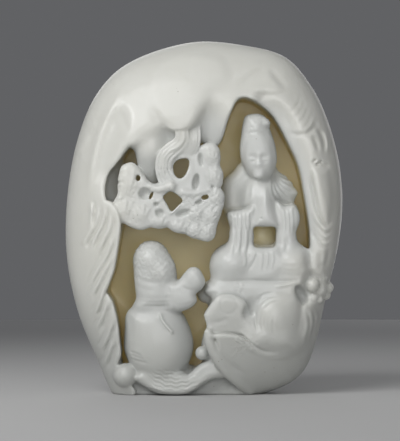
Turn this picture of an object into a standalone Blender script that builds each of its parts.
"""A white jade boulder carving: a river pebble hollowed into a grotto, with a veiled seated figure, a
kneeling worshipper and an openwork pine, all cut from the one stone.

Run with: blender --background --python part.py

X runs to the viewer's right, Y into the stone and Z up. The origin is in the middle of the flat base.
All values are in millimetres until they are placed, and MM turns them into metres. The stone is worked
the way a carver works it: the pebble first, then what is taken away, then the forms that were left
standing, and last the flat base it stands on.
"""

import math

import bmesh
import bpy
from mathutils import Euler, Matrix, Vector

MM = 0.001

# The pebble
FRONT_DEPTH = 22.0
BACK_DEPTH = 20.0
ROUNDNESS = 2.3
PEBBLE_CENTRE = (0.0, 52.0)
PEBBLE_OUTLINE = [
    (-4.0, 112.3), (14.0, 111.0), (26.0, 107.3), (34.0, 98.3), (39.0, 88.0), (42.7, 75.0), (44.0, 61.0),
    (42.6, 47.0), (38.8, 31.0), (36.0, 18.0), (32.9, 9.2), (29.2, 4.6), (24.0, 1.6), (17.0, -1.0),
    (5.0, -7.0), (-8.0, -11.0), (-26.0, -5.0), (-35.0, 12.0), (-41.0, 27.0), (-44.3, 44.0), (-44.2, 62.0),
    (-41.0, 80.5), (-34.5, 96.0), (-23.5, 106.2),
]

# The hollow, as seen from the front, and how deep it goes
BACK_WALL = 10.0
CAVE_MOUTH = [
    (-25.4, 8.0), (-27.2, 20.0), (-29.8, 33.0), (-27.6, 44.0), (-26.4, 53.0), (-29.0, 60.0), (-31.4, 67.0),
    (-29.4, 75.0), (-25.2, 80.2), (-21.0, 78.6), (-12.0, 79.4), (-3.0, 80.0), (2.8, 80.4), (6.4, 86.0),
    (8.4, 91.6), (11.6, 94.6), (17.0, 93.0), (23.6, 86.6), (28.6, 75.0), (31.6, 62.0), (33.2, 48.0),
    (31.5, 38.5), (22.0, 36.0), (9.0, 32.0), (4.0, 24.0), (3.5, 12.0), (-2.0, 7.0), (-14.0, 6.0),
]
BROW_SCOOP_CENTRE = (-6.0, -30.0, 69.0)
BROW_SCOOP_RADII = (27.0, 18.5, 22.0)
LEDGE_FACE = -9.0
LEDGE_OUTLINE = [
    (1.0, 20.0), (6.4, 19.9), (11.2, 18.9), (14.6, 16.8), (18.2, 14.6), (22.4, 13.3), (28.0, 13.8),
    (30.6, 19.0), (31.8, 30.0), (34.0, 40.0), (18.0, 44.0), (-3.0, 38.0), (-3.0, 26.0),
]
FOOT_FACE = -9.0
FOOT_OUTLINE = [
    (-24.0, -6.0), (-27.5, 2.0), (-29.6, 7.0), (-26.0, 11.0), (-14.0, 12.0), (-2.0, 17.0), (1.2, 16.0),
    (3.0, 11.0), (6.3, 6.2), (10.4, 2.0), (13.0, -6.0),
]
OPEN_FRONT = -40.0
WINDOW_CENTRE = (19.0, 50.0)
WINDOW_SIDE = 6.4
WINDOW_BACK = 6.0

# The flat pad of pine leaves, and how far its clumps swell
PAD_FACE = -17.5
PAD_THICKNESS = 6.0
CLUMP_SWELL = 2.8
CLUMP_SUNK = 1.4

# What lies along the pebble's skin, and how far its middle is sunk in
LEAF_EDGE_RADIUS = 1.6
LEAF_EDGE_SUNK = 1.2
LEAF_RIM_RADIUS = 1.5
LEAF_RIM_SUNK = 1.6
DROP_SUNK = 1.6
FOLD_RADII = [1.5, 2.2, 1.4]
FOLD_SUNK = 0.9

# The folds on the left hand wall: each starts this much above and outside the last
BARK_FOLDS = 4
BARK_LOWEST = 12.0
BARK_STEP = 13.0
BARK_RISE = 14.0
BARK_OUTER = -33.5
BARK_OUTER_SHIFT = -2.2
BARK_INNER = -28.6
BARK_INNER_SHIFT = -1.3

# How finely the stone is worked
PEBBLE_SEGMENTS = 96
PEBBLE_RINGS = 48
BALL_SEGMENTS = 28
BALL_RINGS = 16
CURVE_STEPS = 8
STRAND_STEPS = 6
STRAND_BEVEL = 4
WELD_GAP = 0.01
TOOL_SIZE = 0.7
POLISH_PASSES = 3
POLISH_STRENGTH = 0.5
KEPT_SHARE = 0.043
TABLE_SIZE = (200.0, 200.0, 40.0)
JADE_COLOUR = (0.76, 0.77, 0.70, 1.0)
JADE_ROUGHNESS = 0.28


def clear_scene():
    for old in list(bpy.data.objects):
        bpy.data.objects.remove(old, do_unlink=True)


def closed_curve(points, steps):
    """A smooth closed line through the points, with this many stretches from each to the next."""
    count = len(points)
    line = []
    for i in range(count):
        before, here, there, after = (Vector(points[(i + k) % count]) for k in (-1, 0, 1, 2))
        for step in range(steps):
            t = step / steps
            bend = (there - before) * t
            pull = (2 * before - 5 * here + 4 * there - after) * t * t
            twist = (3 * here - before - 3 * there + after) * t * t * t
            line.append(0.5 * (2 * here + bend + pull + twist))
    return line


def link(name, mesh):
    made = bpy.data.objects.new(name, mesh)
    tools.objects.link(made)
    made.hide_render = True
    made.display_type = "WIRE"
    return made


def as_mesh(curve_object):
    """The curve's solid as a mesh object in the same place, with its caps welded on."""
    graph = bpy.context.evaluated_depsgraph_get()
    mesh = bpy.data.meshes.new_from_object(curve_object.evaluated_get(graph))
    mesh.transform(curve_object.matrix_world)
    work = bmesh.new()
    work.from_mesh(mesh)
    bmesh.ops.remove_doubles(work, verts=work.verts, dist=WELD_GAP * MM)
    bmesh.ops.recalc_face_normals(work, faces=work.faces)
    work.to_mesh(mesh)
    work.free()
    name = curve_object.name
    bpy.data.objects.remove(curve_object, do_unlink=True)
    return link(name, mesh)


def block(name, outline, front, back):
    """A flat outline in the picture plane, made thick from front to back."""
    data = bpy.data.curves.new(name, "CURVE")
    data.dimensions = "2D"
    data.fill_mode = "BOTH"
    data.extrude = (back - front) / 2 * MM
    line = closed_curve(outline, CURVE_STEPS)
    spline = data.splines.new("POLY")
    spline.points.add(len(line) - 1)
    for point, (x, z) in zip(spline.points, line):
        point.co = (x * MM, z * MM, 0.0, 1.0)
    spline.use_cyclic_u = True
    made = bpy.data.objects.new(name, data)
    tools.objects.link(made)
    made.rotation_euler = (math.pi / 2, 0.0, 0.0)
    made.location = (0.0, (front + back) / 2 * MM, 0.0)
    bpy.context.view_layer.update()
    return as_mesh(made)


def ball(name, centre, radii, lean=0.0, tip=0.0):
    """An egg. Lean turns it in the picture plane, clockwise, and tip nods it towards the viewer."""
    mesh = bpy.data.meshes.new(name)
    work = bmesh.new()
    bmesh.ops.create_uvsphere(work, u_segments=BALL_SEGMENTS, v_segments=BALL_RINGS, radius=1.0)
    size = Matrix.Diagonal(Vector((*radii, 1.0 / MM)) * MM)
    turn = Euler((math.radians(tip), math.radians(lean), 0.0)).to_matrix().to_4x4()
    bmesh.ops.transform(work, matrix=Matrix.Translation(Vector(centre) * MM) @ turn @ size, verts=work.verts)
    work.to_mesh(mesh)
    work.free()
    return link(name, mesh)


def strand(name, points, radii):
    """A round limb through the points, with its own thickness at each, and rounded ends."""
    data = bpy.data.curves.new(name, "CURVE")
    data.dimensions = "3D"
    data.bevel_depth = MM
    data.bevel_resolution = STRAND_BEVEL
    data.resolution_u = STRAND_STEPS
    data.use_fill_caps = True
    spline = data.splines.new("BEZIER")
    spline.bezier_points.add(len(points) - 1)
    for point, place, radius in zip(spline.bezier_points, points, radii):
        point.co = Vector(place) * MM
        point.radius = radius
        point.handle_left_type = point.handle_right_type = "AUTO"
    made = bpy.data.objects.new(name, data)
    tools.objects.link(made)
    bpy.context.view_layer.update()
    ends = [ball(f"{name}_end", points[i], (radii[i],) * 3) for i in (0, -1)]
    return [as_mesh(made), *ends]


def rim_profile():
    """How far the pebble's outline is from its middle, by angle, in order of the angle."""
    middle = Vector(PEBBLE_CENTRE)
    line = sorted(
        (math.atan2(*(point - middle).yx), (point - middle).length)
        for point in closed_curve(PEBBLE_OUTLINE, CURVE_STEPS)
    )
    return [(line[-1][0] - math.tau, line[-1][1]), *line, (line[0][0] + math.tau, line[0][1])]


def reach(angle):
    for (low, near), (high, far) in zip(RIM, RIM[1:]):
        if low <= angle <= high:
            return near + (far - near) * (angle - low) / max(high - low, 1e-9)
    return RIM[0][1]


def on_face(x, z, sunk):
    """The point of the pebble's front face at x and z, moved this far into the stone."""
    away = Vector((x, z)) - Vector(PEBBLE_CENTRE)
    share = min(away.length / reach(math.atan2(away.y, away.x)), 1.0)
    return (x, sunk - FRONT_DEPTH * (1.0 - share**ROUNDNESS) ** (1.0 / ROUNDNESS), z)


def pebble():
    """A ball squared off a little and drawn out to the pebble's outline."""
    middle = Vector(PEBBLE_CENTRE)
    mesh = bpy.data.meshes.new("pebble")
    work = bmesh.new()
    bmesh.ops.create_uvsphere(work, u_segments=PEBBLE_SEGMENTS, v_segments=PEBBLE_RINGS, radius=1.0)
    power = 2.0 / ROUNDNESS
    for vert in work.verts:
        across, up, deep = vert.co.x, vert.co.y, -vert.co.z
        flat = math.hypot(across, up)
        angle = math.atan2(up, across)
        out = reach(angle) * flat**power
        depth = BACK_DEPTH * deep**power if deep > 0 else -FRONT_DEPTH * (-deep) ** power
        vert.co = Vector((
            (middle.x + out * math.cos(angle)) * MM,
            depth * MM,
            (middle.y + out * math.sin(angle)) * MM,
        ))
    bmesh.ops.recalc_face_normals(work, faces=work.faces)
    work.to_mesh(mesh)
    work.free()
    return link("pebble", mesh)


def box(name, centre, size):
    mesh = bpy.data.meshes.new(name)
    work = bmesh.new()
    bmesh.ops.create_cube(work, size=1.0)
    place = Matrix.Translation(Vector(centre) * MM) @ Matrix.Diagonal(Vector((*size, 1.0 / MM)) * MM)
    bmesh.ops.transform(work, matrix=place, verts=work.verts)
    work.to_mesh(mesh)
    work.free()
    return link(name, mesh)


def cut(body, *cutters):
    for cutter in cutters:
        modifier = body.modifiers.new(cutter.name, "BOOLEAN")
        modifier.operation = "DIFFERENCE"
        modifier.solver = "EXACT"
        modifier.object = cutter
    return body


def ceiling():
    """The rock overhead, which runs down from the brow into three lobes."""
    return [
        *strand(
            "hanging_cone",
            [(-17, -4.6, 93), (-17.2, -6, 85), (-17.3, -6.5, 78), (-17.4, -6.5, 73), (-17, -6, 69.4)],
            [10.5, 7.8, 4.8, 3.1, 2.0],
        ),
        ball("brow", (-7.5, 0.0, 90.5), (15.0, 16.2, 11.0)),
        *strand(
            "side_lobe",
            [(3.0, -5, 96), (3.8, -7.5, 88.6), (4.4, -8, 83.4), (4.2, -8, 79.8)],
            [10, 6.6, 4.0, 2.4],
        ),
    ]


def pine():
    """The trunk swings out from under the brow and spreads into a pad of leaf clumps with gaps cut through."""
    pad = block(
        "leaf_pad",
        [
            (-24.6, 73.4), (-21.6, 71.6), (-19.4, 68.0), (-16.6, 65.4), (-14.6, 68.0), (-8.0, 76.0),
            (-2.5, 76.0), (-0.8, 78.6), (1.8, 79.6), (4.6, 78.0), (5.2, 72.5), (5.6, 67.0), (5.0, 64.0),
            (6.1, 61.0), (5.4, 56.5), (3.8, 52.0), (1.4, 48.9), (-1.2, 48.8), (-4.2, 50.0), (-8.2, 51.4),
            (-12.5, 52.8), (-17.0, 52.7), (-21.0, 51.9), (-25.4, 53.8), (-28.2, 57.0), (-29.5, 61.5),
            (-27.6, 66.0), (-26.6, 70.5),
        ],
        PAD_FACE,
        PAD_FACE + PAD_THICKNESS,
    )
    gaps = [
        ((-7.6, 71.5), (2.5, 3.0), 12),
        ((-10.0, 61.4), (3.0, 2.9), 0),
        ((-3.0, 67.2), (1.4, 2.9), 8),
        ((-20.8, 68.3), (1.1, 1.2), 0),
        ((-18.6, 63.8), (2.3, 1.7), 30),
        ((-0.7, 61.2), (2.0, 1.5), -20),
        ((-14.7, 58.9), (1.5, 1.6), 0),
    ]
    cut(pad, *(
        ball(f"gap_{i}", (x, PAD_FACE + PAD_THICKNESS / 2, z), (wide, 2 * PAD_THICKNESS, tall), lean)
        for i, ((x, z), (wide, tall), lean) in enumerate(gaps)
    ))
    clumps = [
        ((-24.5, 67.8), (2.6, 5.4), 8),
        ((-25.9, 58.9), (2.9, 3.0), 0),
        ((-20.6, 58.9), (3.0, 2.6), 0),
        ((-21.8, 54.6), (4.0, 2.4), 0),
        ((-14.6, 54.8), (4.0, 2.2), 0),
        ((-8.4, 53.2), (3.8, 2.4), -10),
        ((-2.0, 55.6), (3.6, 3.4), 20),
        ((1.6, 53.6), (3.0, 3.2), 0),
        ((0.8, 50.8), (3.0, 2.3), 0),
        ((3.5, 60.8), (2.5, 3.6), 10),
        ((2.0, 68.6), (3.2, 3.8), 0),
        ((1.8, 75.2), (2.9, 3.9), 0),
        ((-5.4, 58.6), (2.2, 1.8), 30),
    ]
    limbs = strand(
        "trunk",
        [(-5.5, -7, 91), (-5.5, -10.5, 84), (-5.7, -12.8, 80.3), (-8.8, -14.2, 76), (-12.4, -15.2, 72),
         (-12.6, -15.6, 68.4), (-9.6, -15.6, 65.2)],
        [6.0, 4.6, 4.3, 4.0, 2.7, 2.5, 2.6],
    )
    limbs += strand(
        "right_limb",
        [(-8.0, -15.6, 66.0), (-4.7, -15.8, 69.8), (-3.4, -15.4, 74.4), (1.0, -15.6, 75.6)],
        [2.2, 1.3, 1.5, 1.8],
    )
    clump_depth = PAD_FACE + CLUMP_SUNK
    return [
        pad,
        *limbs,
        *(
            ball(f"clump_{i}", (x, clump_depth, z), (wide, CLUMP_SWELL, tall), lean)
            for i, ((x, z), (wide, tall), lean) in enumerate(clumps)
        ),
    ]


def seated_figure():
    """The veiled figure with joined hands, whose long sleeves fall on the knees."""
    body = [
        ball("seat_rock", (15.5, -2, 33.0), (17.5, 11, 6.4)),
        ball("lap", (17.8, -4, 42.0), (14, 8.6, 6.6)),
        ball("centre_drape", (18.0, -10, 41.6), (5.4, 4, 4.6)),
        ball("left_knee", (8.2, -8.6, 41.8), (6.2, 6.4, 6.2)),
        ball("right_knee", (27.8, -8.6, 42.8), (5.9, 6, 6.3)),
        *strand("back", [(17.5, 4, 40), (17.4, 3, 55), (17.2, 0, 66)], [8, 7.4, 6.4]),
        ball("chest", (17.3, -3.6, 62.6), (8.4, 6.2, 8.2)),
        ball("left_shoulder", (10.6, 0, 64.0), (5.2, 5, 6.6), 14),
        *strand("right_shoulder", [(20, -2.5, 68.4), (24.8, -4, 65.4), (28.0, -4.6, 62.8)], [4.4, 3.6, 1.8]),
        ball("veiled_head", (16.8, -4.6, 75.8), (6.0, 6.2, 8.4)),
        ball("face", (17.1, -7.6, 74.8), (4.5, 4.8, 6.4)),
        ball("topknot", (15.9, -6, 83.6), (4.4, 4.8, 5.2)),
        ball("hands", (19.2, -13.0, 58.8), (3.2, 3, 5.1)),
        *strand("left_sleeve", [(11.2, -8, 57), (11.2, -10, 52), (11.2, -10.2, 46)], [4.4, 4.5, 4.7]),
        *strand("right_sleeve", [(26.4, -7.6, 57.6), (26.3, -8.8, 53), (26.8, -9.2, 46.5)], [3.5, 3.4, 4.0]),
        *strand("left_forearm", [(9.6, -7.6, 57.4), (14, -11.2, 57.6), (18.4, -12.8, 57.8)], [3.3, 3.1, 2.7]),
        *strand("right_forearm", [(27, -7, 58.2), (24.2, -10.8, 58), (20.4, -12.8, 58)], [3.0, 2.8, 2.6]),
    ]
    return body


def worshipper():
    """The kneeling worshipper with raised hands, on a low rock."""
    return [
        ball("kneeling_rock", (-13, -4, 6.4), (14, 9, 4.4)),
        ball("robe", (-14.4, -8.6, 16.6), (10.6, 9.4, 10.4)),
        ball("robe_side", (-20.0, -8, 20.2), (5.3, 7.8, 8.6)),
        *strand("body", [(-16.6, -8.8, 24), (-16.4, -9.8, 30.5), (-16.2, -10.2, 36)], [7.4, 6.2, 5.4]),
        ball("head", (-15.9, -11, 42.7), (6.4, 6.2, 6.3)),
        ball("cheek", (-13.0, -13, 40.6), (3.8, 4.2, 4.3)),
        *strand("sleeve", [(-13.4, -11.4, 32.6), (-9, -13.4, 31.8), (-5.9, -14.2, 32.4)], [3.9, 3.9, 3.3]),
        ball("cuff", (-6.0, -14.0, 30.0), (3.0, 2.8, 2.8), 20),
        *strand("raised_hands", [(-5.4, -14.6, 33.8), (-3.2, -15.2, 38.0)], [2.8, 2.1]),
    ]


def foreground():
    """The knob, the rolling wave, the bud and the curled leaf at the foot of the cave."""
    pieces = [
        ball("corner_knob", (-25.1, -9.5, 6.1), (3.7, 3.9, 3.7)),
        *strand("wave_left", [(-21, -8.4, 5.8), (-15, -11.4, 4.4), (-9.5, -12.6, 2.8), (-4.4, -13, 2.8)],
                [2.6, 2.8, 2.6, 2.8]),
        *strand("wave_right", [(-4.6, -12.6, 3.6), (-1.2, -13.2, 6.6), (3.6, -12.4, 9.2)], [2.8, 3.2, 3.4]),
        *strand("bud", [(-1.0, -10.4, 12.4), (0.6, -9.6, 15.4)], [2.4, 2.6]),
        ball("bud_root", (3.4, -7.5, 15.0), (5.0, 5.5, 6.0)),
        ball("shelf", (6.4, -7.6, 24.4), (8.2, 7.4, 5.2)),
        ball("great_curl", (7.7, -12.8, 28.6), (3.2, 3.0, 3.2)),
        ball("small_curl", (2.6, -11.8, 25.7), (2.6, 2.8, 2.6)),
        ball("dome", (22.4, -9.0, 24.6), (8.6, 8.4, 9.4)),
    ]
    edge = [(1.2, 19.4), (1.4, 15.4), (3.2, 11.2), (6.5, 6.4), (10.8, 2.4)]
    edge_line = [on_face(x, z, LEAF_EDGE_SUNK) for x, z in edge]
    pieces += strand("leaf_edge", edge_line, [LEAF_EDGE_RADIUS] * len(edge))
    rim = [(2.4, 19.6), (6.4, 19.6), (11.2, 18.6), (14.6, 16.6), (18.4, 14.2), (22.6, 13.0), (27.0, 13.6)]
    rim_line = [on_face(x, z, LEAF_RIM_SUNK) for x, z in rim]
    pieces += strand("leaf_rim", rim_line, [LEAF_RIM_RADIUS] * len(rim))
    return pieces


def right_wall():
    """What is worked on the right hand wall: a long drop, a bunch of fungus heads and the rock folds."""
    heads = [
        ((33.6, -10.4, 35.4), 2.6),
        ((38.6, -5.6, 34.4), 2.4),
        ((36.2, -8.6, 30.8), 2.4),
        ((36.4, -8.2, 37.2), 2.2),
        ((35.8, -6.0, 33.6), 3.2),
    ]
    folds = [
        [(18, 101), (22.5, 98.5), (25, 94.8)],
        [(26.0, 94.5), (30.2, 90), (32.4, 85)],
        [(33.5, 88), (35.6, 83), (36.6, 77.5)],
    ]
    made = [ball("long_drop", on_face(36.0, 63.4, DROP_SUNK), (3.8, 2.8, 8.8), -4)]
    made += [ball(f"fungus_head_{i}", place, (size,) * 3) for i, (place, size) in enumerate(heads)]
    for i, line in enumerate(folds):
        made += strand(f"wall_fold_{i}", [on_face(x, z, FOLD_SUNK) for x, z in line], FOLD_RADII)
    return made


def left_wall():
    """The slanting folds that climb the left hand wall like bark."""
    made = []
    for i in range(BARK_FOLDS):
        low = BARK_LOWEST + i * BARK_STEP
        outer = BARK_OUTER + BARK_OUTER_SHIFT * i
        inner = BARK_INNER + BARK_INNER_SHIFT * i
        places = [(outer, low), ((outer + inner) / 2, low + BARK_RISE / 2), (inner, low + BARK_RISE)]
        made += strand(f"bark_fold_{i}", [on_face(x, z, FOLD_SUNK) for x, z in places], FOLD_RADII)
    return made


def gather(name, pieces):
    """One mesh that holds every piece as it is evaluated. The pieces may pass through each other."""
    graph = bpy.context.evaluated_depsgraph_get()
    work = bmesh.new()
    for piece in pieces:
        mesh = bpy.data.meshes.new_from_object(piece.evaluated_get(graph))
        mesh.transform(piece.matrix_world)
        work.from_mesh(mesh)
        bpy.data.meshes.remove(mesh)
    mesh = bpy.data.meshes.new(name)
    work.to_mesh(mesh)
    work.free()
    return mesh


def jade():
    material = bpy.data.materials.new("white_jade")
    material.use_nodes = True
    shader = material.node_tree.nodes["Principled BSDF"]
    shader.inputs["Base Color"].default_value = JADE_COLOUR
    shader.inputs["Roughness"].default_value = JADE_ROUGHNESS
    shader.inputs["Metallic"].default_value = 0.0
    return material


def fuse(body, name):
    """Joins everything that overlaps in the body into one skin, as fine as the tool."""
    modifier = body.modifiers.new(name, "REMESH")
    modifier.mode = "VOXEL"
    modifier.voxel_size = TOOL_SIZE * MM


def carve():
    stone = cut(
        pebble(),
        block("cave", CAVE_MOUTH, OPEN_FRONT, BACK_WALL),
        block("ledge", LEDGE_OUTLINE, OPEN_FRONT, LEDGE_FACE),
        block("foot_recess", FOOT_OUTLINE, OPEN_FRONT, FOOT_FACE),
        ball("brow_scoop", BROW_SCOOP_CENTRE, BROW_SCOOP_RADII),
    )
    standing = ceiling() + pine() + seated_figure() + worshipper() + foreground() + right_wall() + left_wall()
    bpy.context.view_layer.update()
    rough = link("rough_stone", gather("rough_stone", [stone, *standing]))
    fuse(rough, "join_forms")
    window = box(
        "window",
        (WINDOW_CENTRE[0], (OPEN_FRONT + WINDOW_BACK) / 2, WINDOW_CENTRE[1]),
        (WINDOW_SIDE, WINDOW_BACK - OPEN_FRONT, WINDOW_SIDE),
    )
    cut(rough, window)
    bpy.context.view_layer.update()

    carving = bpy.data.objects.new("jade_boulder_carving", gather("jade_boulder_carving", [rough]))
    works.objects.link(carving)
    carving.data.materials.append(jade())
    fuse(carving, "soften_cuts")
    polish = carving.modifiers.new("polish", "SMOOTH")
    polish.factor = 0.5
    polish.iterations = POLISH_PASSES
    facets = carving.modifiers.new("facets", "DECIMATE")
    facets.ratio = KEPT_SHARE
    cut(carving, box("table", (0.0, 0.0, -TABLE_SIZE[2] / 2), TABLE_SIZE))
    return carving


RIM = rim_profile()
clear_scene()
works = bpy.data.collections.new("jade_boulder_carving")
tools = bpy.data.collections.new("carving_tools")
bpy.context.scene.collection.children.link(works)
bpy.context.scene.collection.children.link(tools)
carve()
